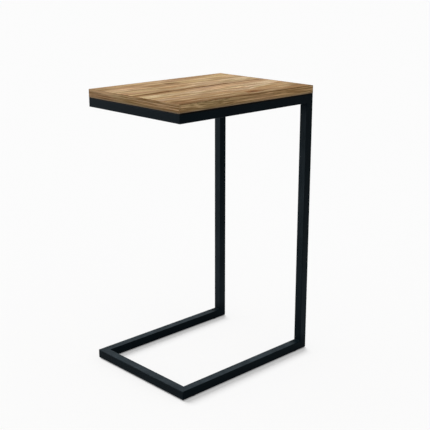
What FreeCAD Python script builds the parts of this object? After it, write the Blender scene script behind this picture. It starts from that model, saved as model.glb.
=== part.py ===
# C-shaped side table: a banded board on a frame of welded square tube.
#
# The table stands on four glides that are pushed into a U-shaped base.  Two posts at the
# rear carry an upper frame, and the board is screwed down to that frame from below.  The
# front is open between base and top, so that the base slides under a seat and the top
# over it.
#
# Axes: +X to the rear, where the posts are, +Y to the left and +Z up.  The origin is on
# the floor under the middle of the board.  Lengths are in millimetres.
import FreeCAD, Part
import math
import os
from enum import IntEnum

import Sketcher

# ---------------------------------------------------------------- driving dimensions

SIZES = [
    # name, value, what it is
    ("top_length", 400, "board and frame, front to rear"),
    ("top_width", 300, "board and frame, side to side"),
    ("overall_height", 640, "floor to the top of the board"),
    ("board_thickness", 19, "chipboard with its decor faces"),
    ("band_thickness", 2, "edge band"),
    ("band_radius", 1, "rounding of the banded edges"),
    ("tube_size", 20, "outside of the square tube"),
    ("tube_wall", 1.2, "wall of the square tube"),
    ("tube_radius", 1.5, "outside corner of the square tube"),
    ("corner_radius", 1.5, "grinding of the mitred corners"),
    ("bead_leg", 2, "leg of the weld beads in the inside corners"),
    ("glide_height", 2, "floor to the underside of the frame"),
    ("glide_diameter", 16, "foot of a glide"),
    ("glide_chamfer", 0.6, "edge of a glide's foot"),
    ("glide_hole", 6, "hole in the tube for a glide's stem"),
    ("glide_play", 0.1, "stem to hole, all round, and wall to barb"),
    ("glide_barb", 0.4, "how far the barb stands past the hole"),
    ("glide_tip", 4, "length of the barb"),
    ("glide_end", 4.8, "diameter at the end of the barb"),
    ("glide_slot", 1.2, "slot that lets the stem spring"),
    ("glide_inset", 35, "end of the base to a glide's centre"),
    ("screw_diameter", 4, "over the thread"),
    ("screw_core", 2.6, "under the thread"),
    ("screw_pitch", 1.8, "thread"),
    ("screw_tip", 3, "plain point of the screw"),
    ("screw_head", 8, "diameter of the pan head"),
    ("screw_head_height", 2.6, "height of the pan head"),
    ("screw_recess_span", 4.4, "cross recess, tip to tip"),
    ("screw_recess_width", 1.1, "cross recess, width of an arm"),
    ("screw_recess_depth", 1.6, "cross recess"),
    ("screw_cover", 4.5, "board left above a screw's point"),
    ("screw_play", 0.1, "thread to hole in the board, all round"),
    ("screw_relief", 1, "hole in the board past the screw's point"),
    ("screw_clearance", 4.6, "hole for the screw in the tube's top wall"),
    ("screw_access", 10, "hole for the driver in the tube's bottom wall"),
    ("screw_spacing", 240, "front screw to rear screw in a side tube"),
    ("cut_margin", 2, "how far a cutting shape runs past the work"),
]

# Expressions that several pieces share.
HALF_LENGTH = "Sizes.top_length / 2"
HALF_WIDTH = "Sizes.top_width / 2"
HALF_TUBE = "Sizes.tube_size / 2"
HALF_SPACING = "Sizes.screw_spacing / 2"
FRAME_TOP = "(Sizes.overall_height - Sizes.board_thickness)"
FRAME_HEIGHT = f"({FRAME_TOP} - Sizes.glide_height)"
REAR_AXIS = f"({HALF_LENGTH} - {HALF_TUBE})"
SIDE_AXIS = f"({HALF_WIDTH} - {HALF_TUBE})"
BASE_AXIS = f"(Sizes.glide_height + {HALF_TUBE})"
UPPER_AXIS = f"({FRAME_TOP} - {HALF_TUBE})"
SCREW_LENGTH = "(Sizes.board_thickness + Sizes.tube_wall - Sizes.screw_cover)"
SCREW_HOLE_DEPTH = "(Sizes.board_thickness - Sizes.screw_cover + Sizes.screw_relief)"

LEFT, RIGHT = 1, -1
FRONT, REAR = -1, 1
DOWN, UP = -1, 1
SIDES = (("left", LEFT), ("right", RIGHT))
ENDS = (("front", FRONT), ("rear", REAR))

Z_AXIS = FreeCAD.Vector(0, 0, 1)


class Point(IntEnum):
    """The numbers by which a sketch knows the points of a line, an arc or a circle."""

    START = 1
    END = 2
    CENTRE = 3


class Axis(IntEnum):
    """The numbers by which a sketch knows its axes; they start at its origin."""

    ACROSS = -1
    UPRIGHT = -2


def add_sizes(doc):
    """Writes the driving dimensions to the sheet, one alias a row."""
    sheet = doc.addObject("Spreadsheet::Sheet", "Sizes")
    for row, (name, value, note) in enumerate(SIZES, start=1):
        sheet.set(f"A{row}", name)
        sheet.set(f"B{row}", str(value))
        sheet.set(f"C{row}", note)
        sheet.setAlias(f"B{row}", name)
    doc.recompute()
    return sheet


# ---------------------------------------------------------------- sketches


def add_body(doc, label, x=None, y=None, z=None):
    """A body whose origin sits at the expressions x, y and z."""
    body = doc.addObject("PartDesign::Body", label)
    body.Label = label
    for axis, expression in (("x", x), ("y", y), ("z", z)):
        if expression is not None:
            body.setExpression(f"Placement.Base.{axis}", expression)
    return body


def add_sketch(body, name, plane, height=None):
    """A sketch on one of the body's own planes, or at a height above it."""
    sketch = body.newObject("Sketcher::SketchObject", name)
    support = next(f for f in body.Origin.OriginFeatures if f.Role == plane)
    sketch.AttachmentSupport = [(support, "")]
    sketch.MapMode = "FlatFace"
    if height is not None:
        sketch.setExpression("AttachmentOffset.Base.z", height)
    return sketch


def evaluate(sketch, expression):
    """What an expression comes to with the sizes as they are; None means zero."""
    return 0.0 if expression is None else float(sketch.evalExpression(expression))


def at(sketch, x, y):
    """The point that a pair of expressions comes to."""
    return FreeCAD.Vector(evaluate(sketch, x), evaluate(sketch, y), 0)


def dimension(sketch, kind, *arguments, value):
    """A dimensional constraint driven by an expression."""
    constraint = Sketcher.Constraint(kind, *arguments, evaluate(sketch, value))
    index = sketch.addConstraint(constraint)
    sketch.setExpression(f"Constraints[{index}]", value)


def locate(sketch, geometry, point, x, y):
    """Holds a sketch point at the expressions x and y; None means on the axis."""
    if x is None:
        on_axis = Sketcher.Constraint("PointOnObject", geometry, point, Axis.UPRIGHT)
        sketch.addConstraint(on_axis)
    else:
        dimension(sketch, "DistanceX", Axis.ACROSS, Point.START, geometry, point, value=x)
    if y is None:
        on_axis = Sketcher.Constraint("PointOnObject", geometry, point, Axis.ACROSS)
        sketch.addConstraint(on_axis)
    else:
        dimension(sketch, "DistanceY", Axis.ACROSS, Point.START, geometry, point, value=y)


def join(sketch, one, other, smooth=False):
    """Makes two points one; each is a geometry's number and the point on it."""
    kind = "Tangent" if smooth else "Coincident"
    sketch.addConstraint(Sketcher.Constraint(kind, *one, *other))


def draw_lines(sketch, corners):
    """A chain of lines from corner to corner, each a pair of expressions."""
    first = sketch.GeometryCount
    points = [at(sketch, x, y) for x, y in corners]
    for start, end in zip(points, points[1:]):
        sketch.addGeometry(Part.LineSegment(start, end), False)
    last = sketch.GeometryCount - 1
    for line in range(first, last):
        join(sketch, (line, Point.END), (line + 1, Point.START))
    for line, (x, y) in enumerate(corners[:-1], start=first):
        locate(sketch, line, Point.START, x, y)
    return first, last


def draw_polygon(sketch, corners):
    """A closed outline through corners."""
    first, last = draw_lines(sketch, corners + corners[:1])
    join(sketch, (last, Point.END), (first, Point.START))


def draw_circle(sketch, x, y, diameter):
    """A circle of a given diameter about the expressions x and y."""
    circle = Part.Circle(at(sketch, x, y), Z_AXIS, evaluate(sketch, diameter) / 2)
    index = sketch.addGeometry(circle, False)
    locate(sketch, index, Point.CENTRE, x, y)
    dimension(sketch, "Diameter", index, value=diameter)


def quarter_arc(centre, radius, quadrant):
    """The arc in one quadrant of a circle; quadrants count from 0, against the clock."""
    circle = Part.Circle(centre, Z_AXIS, radius)
    quarter = math.pi / 2
    return Part.ArcOfCircle(circle, quadrant * quarter, (quadrant + 1) * quarter)


def draw_rounded_square(sketch, side, radius):
    """A square with rounded corners about the origin."""
    first = sketch.GeometryCount
    reach = evaluate(sketch, side) / 2
    corner = evaluate(sketch, radius)
    inner = reach - corner
    for n in range(4):
        turn = FreeCAD.Rotation(Z_AXIS, 90 * n)
        start = turn.multVec(FreeCAD.Vector(reach, -inner, 0))
        end = turn.multVec(FreeCAD.Vector(reach, inner, 0))
        sketch.addGeometry(Part.LineSegment(start, end), False)
    for n in range(4):
        centre = FreeCAD.Rotation(Z_AXIS, 90 * n).multVec(FreeCAD.Vector(inner, inner, 0))
        sketch.addGeometry(quarter_arc(centre, corner, n), False)
    sides = [first + n for n in range(4)]
    arcs = [first + 4 + n for n in range(4)]
    for n in range(4):
        following = sides[(n + 1) % 4]
        join(sketch, (sides[n], Point.END), (arcs[n], Point.START), smooth=True)
        join(sketch, (arcs[n], Point.END), (following, Point.START), smooth=True)
    for n, kind in enumerate(("Vertical", "Horizontal", "Vertical", "Horizontal")):
        sketch.addConstraint(Sketcher.Constraint(kind, sides[n]))
    for arc in arcs[1:]:
        sketch.addConstraint(Sketcher.Constraint("Equal", arcs[0], arc))
    centres = (arcs[0], Point.CENTRE, arcs[2], Point.CENTRE)
    middle = Sketcher.Constraint("Symmetric", *centres, Axis.ACROSS, Point.START)
    sketch.addConstraint(middle)
    dimension(sketch, "Radius", arcs[0], value=radius)
    for kind, low, high in (("DistanceX", 2, 0), ("DistanceY", 3, 1)):
        ends = (sides[low], Point.START, sides[high], Point.START)
        dimension(sketch, kind, *ends, value=side)


def draw_round_off(sketch, x, y, x_side, y_side):
    """What grinding takes off a corner at x and y that points to x_side and y_side."""
    radius = "Sizes.corner_radius"
    near_x = f"({x} - {x_side} * {radius})"
    near_y = f"({y} - {y_side} * {radius})"
    far_x = f"({x} + {x_side} * Sizes.cut_margin)"
    far_y = f"({y} + {y_side} * Sizes.cut_margin)"
    corners = [(x, near_y), (far_x, near_y), (far_x, far_y), (near_x, far_y), (near_x, y)]
    first, last = draw_lines(sketch, corners)
    locate(sketch, last, Point.END, near_x, y)
    quadrant = {(1, 1): 0, (-1, 1): 1, (-1, -1): 2, (1, -1): 3}[x_side, y_side]
    centre = at(sketch, near_x, near_y)
    arc = sketch.addGeometry(quarter_arc(centre, evaluate(sketch, radius), quadrant), False)
    # An arc runs against the clock, so every other quadrant's arc starts on the x side.
    on_x, on_y = (Point.START, Point.END) if quadrant % 2 == 0 else (Point.END, Point.START)
    join(sketch, (arc, on_x), (first, Point.START))
    join(sketch, (arc, on_y), (last, Point.END))
    dimension(sketch, "Radius", arc, value=radius)


# ---------------------------------------------------------------- features


def add_pad(body, sketch, length, symmetric=False):
    """Pads a sketch along its normal, or to both sides of its plane."""
    pad = body.newObject("PartDesign::Pad", "Pad")
    pad.Profile = sketch
    pad.SideType = "Symmetric" if symmetric else "One side"
    pad.setExpression("Length", length)
    return pad


def add_pocket(body, sketch, length=None, symmetric=False, upwards=False):
    """Cuts the sketch out of the body: through all of it, or as deep as length says.

    A plain pocket runs against the sketch's normal, and upwards turns it round.
    """
    pocket = body.newObject("PartDesign::Pocket", "Pocket")
    pocket.Profile = sketch
    pocket.SideType = "Symmetric" if symmetric else "One side"
    pocket.Reversed = upwards
    if length is None:
        pocket.Type = "ThroughAll"
    else:
        pocket.Type = "Length"
        pocket.setExpression("Length", length)
    return pocket


def add_revolution(body, sketch):
    """Turns a profile that lies on the XZ plane once round the body's Z axis."""
    revolution = body.newObject("PartDesign::Revolution", "Revolution")
    revolution.Profile = sketch
    revolution.ReferenceAxis = (sketch, ["V_Axis"])
    revolution.Angle = 360
    return revolution


# ---------------------------------------------------------------- frame of square tube


def add_tube(body, plane, length):
    """A length of square tube along the plane's normal, centred on the body's origin."""
    section = add_sketch(body, "Section", plane)
    bore = "Sizes.tube_size - 2 * Sizes.tube_wall"
    bore_radius = "max(Sizes.tube_radius - Sizes.tube_wall; Sizes.tube_radius / 5)"
    draw_rounded_square(section, "Sizes.tube_size", "Sizes.tube_radius")
    draw_rounded_square(section, bore, bore_radius)
    return add_pad(body, section, length, symmetric=True)


def cut_mitre(body, plane, half_length, end, outer, along_x):
    """Cuts one end of a tube at 45 degrees and rounds off the corner.

    The tube keeps its full length on its outer side.  end and outer are the signs of that
    end and that side in the sketch, and along_x says whether the tube lies along sketch x.
    """
    margin = "Sizes.cut_margin"
    past = f"{end} * ({half_length} + {margin})"
    back = f"{end} * ({half_length} - Sizes.tube_size - {margin})"
    outside = f"{outer} * ({HALF_TUBE} + {margin})"
    inside = f"{-outer} * ({HALF_TUBE} + {margin})"
    corners = [(past, outside), (past, inside), (back, inside)]
    tip = (f"{end} * {half_length}", f"{outer} * {HALF_TUBE}")
    sides = (end, outer)
    if not along_x:
        corners = [(across, along) for along, across in corners]
        tip = tip[::-1]
        sides = sides[::-1]
    mitre = add_sketch(body, "Mitre", plane)
    draw_polygon(mitre, corners)
    add_pocket(body, mitre, symmetric=True)
    ground = add_sketch(body, "Ground", plane)
    draw_round_off(ground, *tip, *sides)
    add_pocket(body, ground, symmetric=True)


def cut_screw_holes(body, places):
    """Drills a tube for board screws: wide from below for the driver, close above."""
    access = add_sketch(body, "Access", "XY_Plane")
    clearance = add_sketch(body, "Clearance", "XY_Plane")
    for x, y in places:
        draw_circle(access, x, y, "Sizes.screw_access")
        draw_circle(clearance, x, y, "Sizes.screw_clearance")
    add_pocket(body, access)
    add_pocket(body, clearance, upwards=True)


def make_front_tube(doc, label, height):
    """A front cross tube, with both ends mitred in plan."""
    body = add_body(doc, label, x=f"-{REAR_AXIS}", z=height)
    add_tube(body, "XZ_Plane", "Sizes.top_width")
    for end in (LEFT, RIGHT):
        cut_mitre(body, "XY_Plane", HALF_WIDTH, end, FRONT, along_x=False)
    return body


def make_side_tube(doc, label, height, side, outer):
    """A side tube: its front end is mitred in plan, and its rear end upright, to a post."""
    body = add_body(doc, label, y=f"{side} * {SIDE_AXIS}", z=height)
    add_tube(body, "YZ_Plane", "Sizes.top_length")
    cut_mitre(body, "XY_Plane", HALF_LENGTH, FRONT, side, along_x=True)
    cut_mitre(body, "XZ_Plane", HALF_LENGTH, REAR, outer, along_x=True)
    return body


def make_base(doc):
    """The U that lies on the floor, drilled for its glides."""
    front = make_front_tube(doc, "base_front_tube", BASE_AXIS)
    tubes = [front]
    for name, side in SIDES:
        tube = make_side_tube(doc, f"base_{name}_tube", BASE_AXIS, side, DOWN)
        holes = add_sketch(tube, "GlideHoles", "XY_Plane")
        for _, end in ENDS:
            draw_circle(holes, glide_x(end), None, "Sizes.glide_hole")
        add_pocket(tube, holes)
        tubes.append(tube)
    return tubes


def make_posts(doc):
    """The two uprights, mitred at both ends."""
    posts = []
    for name, side in SIDES:
        middle = f"Sizes.glide_height + {FRAME_HEIGHT} / 2"
        post = add_body(doc, f"{name}_post", x=REAR_AXIS, y=f"{side} * {SIDE_AXIS}", z=middle)
        add_tube(post, "XY_Plane", FRAME_HEIGHT)
        for end in (DOWN, UP):
            cut_mitre(post, "XZ_Plane", f"{FRAME_HEIGHT} / 2", end, REAR, along_x=False)
        posts.append(post)
    return posts


def make_upper_frame(doc):
    """The rectangle under the board, drilled for the board screws."""
    front = make_front_tube(doc, "upper_front_tube", UPPER_AXIS)
    cut_screw_holes(front, [(None, None)])
    rear = add_body(doc, "upper_rear_tube", x=REAR_AXIS, z=UPPER_AXIS)
    add_tube(rear, "XZ_Plane", "Sizes.top_width - 2 * Sizes.tube_size")
    cut_screw_holes(rear, [(None, None)])
    tubes = [front, rear]
    for name, side in SIDES:
        tube = make_side_tube(doc, f"upper_{name}_tube", UPPER_AXIS, side, UP)
        cut_screw_holes(tube, [(f"{end} * {HALF_SPACING}", None) for _, end in ENDS])
        tubes.append(tube)
    return tubes


# ---------------------------------------------------------------- weld beads


def add_bead(doc, name, plane, place, legs):
    """A three-cornered bead along an inside corner, over the flat of the tube.

    place holds the corner's expressions, and legs the signs of the two faces it lies on.
    """
    x, y, z = place
    body = add_body(doc, name, x=x, y=y, z=z)
    first, second = (f"{sign} * Sizes.bead_leg" for sign in legs)
    section = add_sketch(body, "Section", plane)
    draw_polygon(section, [(None, None), (first, None), (None, second)])
    add_pad(body, section, "Sizes.tube_size - 2 * Sizes.tube_radius", symmetric=True)
    return body


def group(doc, label, bodies):
    """One sub-part of several separate solids."""
    compound = doc.addObject("Part::Compound", label)
    compound.Label = label
    compound.Links = bodies
    return compound


def make_welds(doc):
    """The beads that show in the inside corners; on the outside the welds are ground flush."""
    front_face = f"-({HALF_LENGTH} - Sizes.tube_size)"
    rear_face = f"({HALF_LENGTH} - Sizes.tube_size)"
    base_top = "Sizes.glide_height + Sizes.tube_size"
    upper_bottom = f"{FRAME_TOP} - Sizes.tube_size"
    base, feet, heads, upper, cross = [], [], [], [], []
    for name, side in SIDES:
        inner_face = f"{side} * ({HALF_WIDTH} - Sizes.tube_size)"
        middle = f"{side} * {SIDE_AXIS}"
        base.append(add_bead(doc, f"BaseBead_{name}", "XY_Plane",
                             (front_face, inner_face, BASE_AXIS), (REAR, -side)))
        feet.append(add_bead(doc, f"FootBead_{name}", "XZ_Plane",
                             (rear_face, middle, base_top), (FRONT, UP)))
        heads.append(add_bead(doc, f"HeadBead_{name}", "XZ_Plane",
                              (rear_face, middle, upper_bottom), (FRONT, DOWN)))
        upper.append(add_bead(doc, f"UpperBead_{name}", "XY_Plane",
                              (front_face, inner_face, UPPER_AXIS), (REAR, -side)))
        cross.append(add_bead(doc, f"CrossBead_{name}", "XY_Plane",
                              (rear_face, inner_face, UPPER_AXIS), (FRONT, -side)))
        cross.append(add_bead(doc, f"CrossUnderBead_{name}", "YZ_Plane",
                              (REAR_AXIS, inner_face, upper_bottom), (-side, DOWN)))
    return [
        group(doc, "base_front_welds", base),
        group(doc, "post_foot_welds", feet),
        group(doc, "post_head_welds", heads),
        group(doc, "upper_front_welds", upper),
        group(doc, "upper_rear_welds", cross),
    ]


# ---------------------------------------------------------------- glides


def glide_x(end):
    """Where along the base a glide sits, at one end."""
    return f"{end} * ({HALF_LENGTH} - Sizes.glide_inset)"


def make_glide(doc, label, end, side):
    """A turned foot with a split, barbed stem that snaps into the tube's bottom wall."""
    body = add_body(doc, label, x=glide_x(end), y=f"{side} * {SIDE_AXIS}")
    foot = "Sizes.glide_diameter / 2"
    hole = "Sizes.glide_hole / 2"
    stem = f"{hole} - Sizes.glide_play"
    ledge = "Sizes.glide_height + Sizes.tube_wall + Sizes.glide_play"
    tip = f"{ledge} + Sizes.glide_tip"
    profile = add_sketch(body, "Profile", "XZ_Plane")
    draw_polygon(profile, [
        (None, None),
        (f"{foot} - Sizes.glide_chamfer", None),
        (foot, "Sizes.glide_chamfer"),
        (foot, "Sizes.glide_height"),
        (stem, "Sizes.glide_height"),
        (stem, ledge),
        (f"{hole} + Sizes.glide_barb", ledge),
        ("Sizes.glide_end / 2", tip),
        (None, tip),
    ])
    add_revolution(body, profile)
    slot = add_sketch(body, "Slot", "XZ_Plane")
    half_slot = "Sizes.glide_slot / 2"
    above = f"{tip} + Sizes.cut_margin"
    draw_polygon(slot, [
        (f"-{half_slot}", "Sizes.glide_height"),
        (half_slot, "Sizes.glide_height"),
        (half_slot, above),
        (f"-{half_slot}", above),
    ])
    add_pocket(body, slot, symmetric=True)
    return body


def make_glides(doc):
    """One glide near each end of both side tubes."""
    return [
        make_glide(doc, f"base_glide_{end_name}_{side_name}", end, side)
        for end_name, end in ENDS
        for side_name, side in SIDES
    ]


# ---------------------------------------------------------------- board screws


def make_screw(doc, sheet, label, x, y):
    """A pan-head screw; its head bears on the inside of the tube's top wall."""
    body = add_body(doc, label, x=x, y=y, z=f"{FRAME_TOP} - Sizes.tube_wall")
    head = "Sizes.screw_head / 2"
    core = "Sizes.screw_core / 2"
    crest = "Sizes.screw_diameter / 2"
    pitch = "Sizes.screw_pitch"
    # The thread starts past the tube's wall and leaves the point plain.
    threaded = sheet.board_thickness - sheet.screw_cover - sheet.screw_tip
    corners = [
        (None, "-Sizes.screw_head_height"),
        (head, "-Sizes.screw_head_height"),
        (head, None),
        (core, None),
    ]
    for turn in range(int(threaded / sheet.screw_pitch)):
        root = f"Sizes.tube_wall + {turn} * {pitch}"
        corners.append((core, f"{root} + 0.2 * {pitch}"))
        corners.append((crest, f"{root} + 0.5 * {pitch}"))
        corners.append((core, f"{root} + 0.7 * {pitch}"))
    corners.append((core, f"{SCREW_LENGTH} - Sizes.screw_tip"))
    corners.append((None, SCREW_LENGTH))
    profile = add_sketch(body, "Profile", "XZ_Plane")
    draw_polygon(profile, corners)
    turned = add_revolution(body, profile)
    doc.recompute()
    dome = body.newObject("PartDesign::Fillet", "Dome")
    dome.Base = (turned, [lowest_round_edge(turned.Shape)])
    dome.setExpression("Radius", "0.6 * Sizes.screw_head_height")
    recess = add_sketch(body, "Recess", "XY_Plane", height="-Sizes.screw_head_height")
    span = "Sizes.screw_recess_span / 2"
    arm = "Sizes.screw_recess_width / 2"
    draw_polygon(recess, [
        (span, arm), (arm, arm), (arm, span),
        (f"-{arm}", span), (f"-{arm}", arm), (f"-{span}", arm),
        (f"-{span}", f"-{arm}"), (f"-{arm}", f"-{arm}"), (f"-{arm}", f"-{span}"),
        (arm, f"-{span}"), (arm, f"-{arm}"), (span, f"-{arm}"),
    ])
    add_pocket(body, recess, length="Sizes.screw_recess_depth", upwards=True)
    return body


def lowest_round_edge(shape):
    """The name of the circular edge furthest down a turned shape."""
    round_edges = [
        (edge.CenterOfMass.z, -edge.Length, f"Edge{number}")
        for number, edge in enumerate(shape.Edges, start=1)
        if isinstance(edge.Curve, Part.Circle)
    ]
    return min(round_edges)[2]


def screw_places():
    """Where the board screws are, by name."""
    places = {"front": (f"-{REAR_AXIS}", None), "rear": (REAR_AXIS, None)}
    for end_name, end in ENDS:
        for side_name, side in SIDES:
            place = (f"{end} * {HALF_SPACING}", f"{side} * {SIDE_AXIS}")
            places[f"{end_name}_{side_name}"] = place
    return places


def make_screws(doc, sheet):
    """The screws that pull the board down onto the upper frame."""
    return [
        make_screw(doc, sheet, f"board_screw_{name}", x, y)
        for name, (x, y) in screw_places().items()
    ]


# ---------------------------------------------------------------- board and edge bands


def draw_rectangle(sketch, half_x, half_y):
    """A rectangle about the origin."""
    draw_polygon(sketch, [
        (half_x, half_y),
        (f"-({half_x})", half_y),
        (f"-({half_x})", f"-({half_y})"),
        (half_x, f"-({half_y})"),
    ])


def make_board(doc):
    """The board inside its bands, with the holes that the screws leave in it."""
    board = add_body(doc, "tabletop_board", z=FRAME_TOP)
    outline = add_sketch(board, "Outline", "XY_Plane")
    draw_rectangle(
        outline,
        f"{HALF_LENGTH} - Sizes.band_thickness",
        f"{HALF_WIDTH} - Sizes.band_thickness",
    )
    add_pad(board, outline, "Sizes.board_thickness")
    holes = add_sketch(board, "ScrewHoles", "XY_Plane")
    for x, y in screw_places().values():
        draw_circle(holes, x, y, "Sizes.screw_diameter + 2 * Sizes.screw_play")
    add_pocket(board, holes, length=SCREW_HOLE_DEPTH, upwards=True)
    return board


def make_bands(doc):
    """Four strips, cut from one slab that carries the rounding of the finished edge.

    The side bands run the full length and cover the ends of the front and rear bands.
    """
    slab = add_body(doc, "BandedSlab", z=FRAME_TOP)
    outline = add_sketch(slab, "Outline", "XY_Plane")
    draw_rectangle(outline, HALF_LENGTH, HALF_WIDTH)
    pad = add_pad(slab, outline, "Sizes.board_thickness")
    rounding = slab.newObject("PartDesign::Fillet", "Rounding")
    rounding.Base = (pad, ["Edge1"])
    rounding.UseAllEdges = True
    rounding.setExpression("Radius", "min(Sizes.band_radius; 0.9 * Sizes.band_thickness)")

    margin = "Sizes.cut_margin"
    band = "Sizes.band_thickness"
    long_way = (f"-{HALF_LENGTH} - {margin}", f"Sizes.top_length + 2 * {margin}")
    short_way = (f"-{HALF_WIDTH} + {band}", f"Sizes.top_width - 2 * {band}")
    thick = f"{band} + {margin}"
    bands = {
        "edge_band_left": (long_way, (f"{HALF_WIDTH} - {band}", thick)),
        "edge_band_right": (long_way, (f"-{HALF_WIDTH} - {margin}", thick)),
        "edge_band_front": ((f"-{HALF_LENGTH} - {margin}", thick), short_way),
        "edge_band_rear": ((f"{HALF_LENGTH} - {band}", thick), short_way),
    }
    made = []
    for label, ((x, length), (y, width)) in bands.items():
        strip = doc.addObject("Part::Box", "Strip")
        strip.setExpression("Placement.Base.x", x)
        strip.setExpression("Placement.Base.y", y)
        strip.setExpression("Placement.Base.z", f"{FRAME_TOP} - {margin}")
        strip.setExpression("Length", length)
        strip.setExpression("Width", width)
        strip.setExpression("Height", f"Sizes.board_thickness + 2 * {margin}")
        piece = doc.addObject("Part::Common", label)
        piece.Label = label
        piece.Base = slab
        piece.Tool = strip
        made.append(piece)
    return made


# ---------------------------------------------------------------- the whole table


def check(doc, pieces):
    """Stops the build if a feature failed or a piece is empty or not valid."""
    for item in doc.Objects:
        if {"Invalid", "Error"} & set(item.State):
            raise RuntimeError(f"{item.Label} was not made: {item.State}")
    for piece in pieces:
        if piece.Shape.isNull() or not piece.Shape.Solids or not piece.Shape.isValid():
            raise RuntimeError(f"{piece.Label} has no valid solid")


def main():
    doc = FreeCAD.newDocument("SideTable")
    sheet = add_sizes(doc)
    pieces = [make_board(doc)]
    pieces += make_bands(doc)
    pieces += make_upper_frame(doc)
    pieces += make_posts(doc)
    pieces += make_base(doc)
    pieces += make_welds(doc)
    pieces += make_screws(doc, sheet)
    pieces += make_glides(doc)
    doc.recompute()
    check(doc, pieces)
    os.makedirs("parts", exist_ok=True)
    for piece in pieces:
        piece.Shape.exportStep(os.path.join("parts", f"{piece.Label}.step"))


main()
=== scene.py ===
import math

import bpy
from mathutils import Matrix, Vector


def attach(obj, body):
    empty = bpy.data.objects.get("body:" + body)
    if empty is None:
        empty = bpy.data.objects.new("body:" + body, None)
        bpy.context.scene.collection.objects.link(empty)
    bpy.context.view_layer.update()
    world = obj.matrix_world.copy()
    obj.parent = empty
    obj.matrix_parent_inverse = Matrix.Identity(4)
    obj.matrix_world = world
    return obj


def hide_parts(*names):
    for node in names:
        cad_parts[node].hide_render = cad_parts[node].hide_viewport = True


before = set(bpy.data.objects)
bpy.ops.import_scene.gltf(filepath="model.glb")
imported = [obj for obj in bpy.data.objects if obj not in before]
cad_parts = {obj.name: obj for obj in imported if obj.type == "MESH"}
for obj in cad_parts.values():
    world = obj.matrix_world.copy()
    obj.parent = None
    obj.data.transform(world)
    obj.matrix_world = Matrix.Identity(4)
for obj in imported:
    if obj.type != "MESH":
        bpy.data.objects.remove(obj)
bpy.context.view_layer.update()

# C-shaped side table: an oak-decor board on a welded frame of black 20 mm square tube.
# Metres, Z up, the open front towards -X. Patterns are laid out in millimetres.

MM = 0.001
BODY = "root"

# Sockets of the Mix node when it mixes colours, which share their names with its number sockets
SHARE = 0
UNDER = 6
OVER = 7


# ---------------------------------------------------------------- colours and nodes

def linear(hex_colour, tone=1.0):
    """sRGB hex colour, made lighter or darker by tone, to the linear RGBA that a socket takes."""
    shares = [int(hex_colour[i:i + 2], 16) / 255 for i in (1, 3, 5)]
    return [tone * (s / 12.92 if s <= 0.04045 else ((s + 0.055) / 1.055) ** 2.4) for s in shares] + [1]


def add_node(tree, kind, inputs=None, output=None, **settings):
    """Adds one node, sets its settings, sets or links its inputs, and gives one output."""
    node = tree.nodes.new(kind)
    for setting, value in settings.items():
        setattr(node, setting, value)
    for socket, value in (inputs or {}).items():
        if isinstance(value, bpy.types.NodeSocket):
            tree.links.new(value, node.inputs[socket])
        else:
            node.inputs[socket].default_value = value
    if output is not None:
        return node.outputs[output]
    return next((socket for socket in node.outputs if socket.enabled), None)


def new_material(name):
    """An empty node material."""
    material = bpy.data.materials.new(name)
    material.use_nodes = True
    material.node_tree.nodes.clear()
    return material


def place_in_mm(tree):
    """The place on the table in millimetres."""
    place = add_node(tree, "ShaderNodeTexCoord", output="Object")
    return add_node(tree, "ShaderNodeVectorMath", {0: place, 1: (1 / MM, 1 / MM, 1 / MM)},
                    operation="MULTIPLY")


def clouds(tree, place, size_mm, detail=2, roughness=0.5):
    """An uneven pattern of 0 to 1 whose clouds are size_mm = (x, y, z) apart."""
    scaled = add_node(tree, "ShaderNodeVectorMath", {0: place, 1: [1 / size for size in size_mm]},
                      operation="MULTIPLY")
    return add_node(tree, "ShaderNodeTexNoise",
                    {"Vector": scaled, "Scale": 1, "Detail": detail, "Roughness": roughness},
                    output="Fac")


# ---------------------------------------------------------------- oak

OAK_STRAW = "#DCBC90"
OAK_HONEY = "#BC986A"
OAK_BROWN = "#7C5C36"
OAK_CREAM = "#EED8B0"
OAK_PINK = "#CCA282"
OAK_OLIVE = "#C0AC78"
OAK_RUSSET = "#BC9070"
OAK_SAGE = "#B2A478"
OAK_PORE = "#5A4022"
OAK_SEAM = "#2A1402"
OAK_PALE = "#FFE8C6"
OAK_TAN = "#B4844C"
OAK_UMBER = "#8A6030"
OAK_SMOKE = "#88744E"
OAK_STREAK = "#6C4C28"
KNOT_RIM = "#7C4818"
KNOT_HEART = "#3E1E06"
SEAM_BROWN = "#78480C"
CUTTER_BROWN = "#64421C"
CORNER_BROWN = "#6A4C2A"
BAND_FOOT_SHADE_BROWN = "#6E5636"
WORN_PALE = "#B0A08C"
PAINTED_JOINT_SHADOW_BLACK = "#0C0703"

# The streaks that the grain is built from, broad to fine.
# (size in mm, detail, from, to, share on the board, share on the bands, colour)
BROAD_STREAKS = (
    ((400, 30, 30), 2, 0.36, 0.60, 1.0, 0.80, OAK_HONEY),
    ((360, 40, 40), 1, 0.50, 0.70, 0.40, 0.35, OAK_PINK),
    ((320, 30, 30), 1, 0.54, 0.74, 0.55, 0.40, OAK_OLIVE),
)
FINE_STREAKS = (
    ((340, 12, 12), 1, 0.48, 0.66, 0.75, 0.24, OAK_BROWN),
    ((300, 8, 8), 1, 0.52, 0.68, 0.75, 0.30, OAK_CREAM),
    ((260, 5, 5), 1, 0.50, 0.66, 0.80, 0.32, OAK_BROWN),
    ((170, 2.4, 2.4), 1, 0.42, 0.68, 0.70, 0.75, OAK_BROWN),
    ((90, 1.5, 1.5), 1, 0.40, 0.66, 0.40, 1.00, OAK_BROWN),
)
# (size in mm, share, colour)
HUE_STREAKS = (
    ((190, 30, 30), 0.34, OAK_RUSSET),
    ((150, 24, 24), 0.30, OAK_SAGE),
)
# Each pattern is taken this far along and across from the one before, so that no two line up
NEXT_PATTERN = (37, 17, 17)

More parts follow.
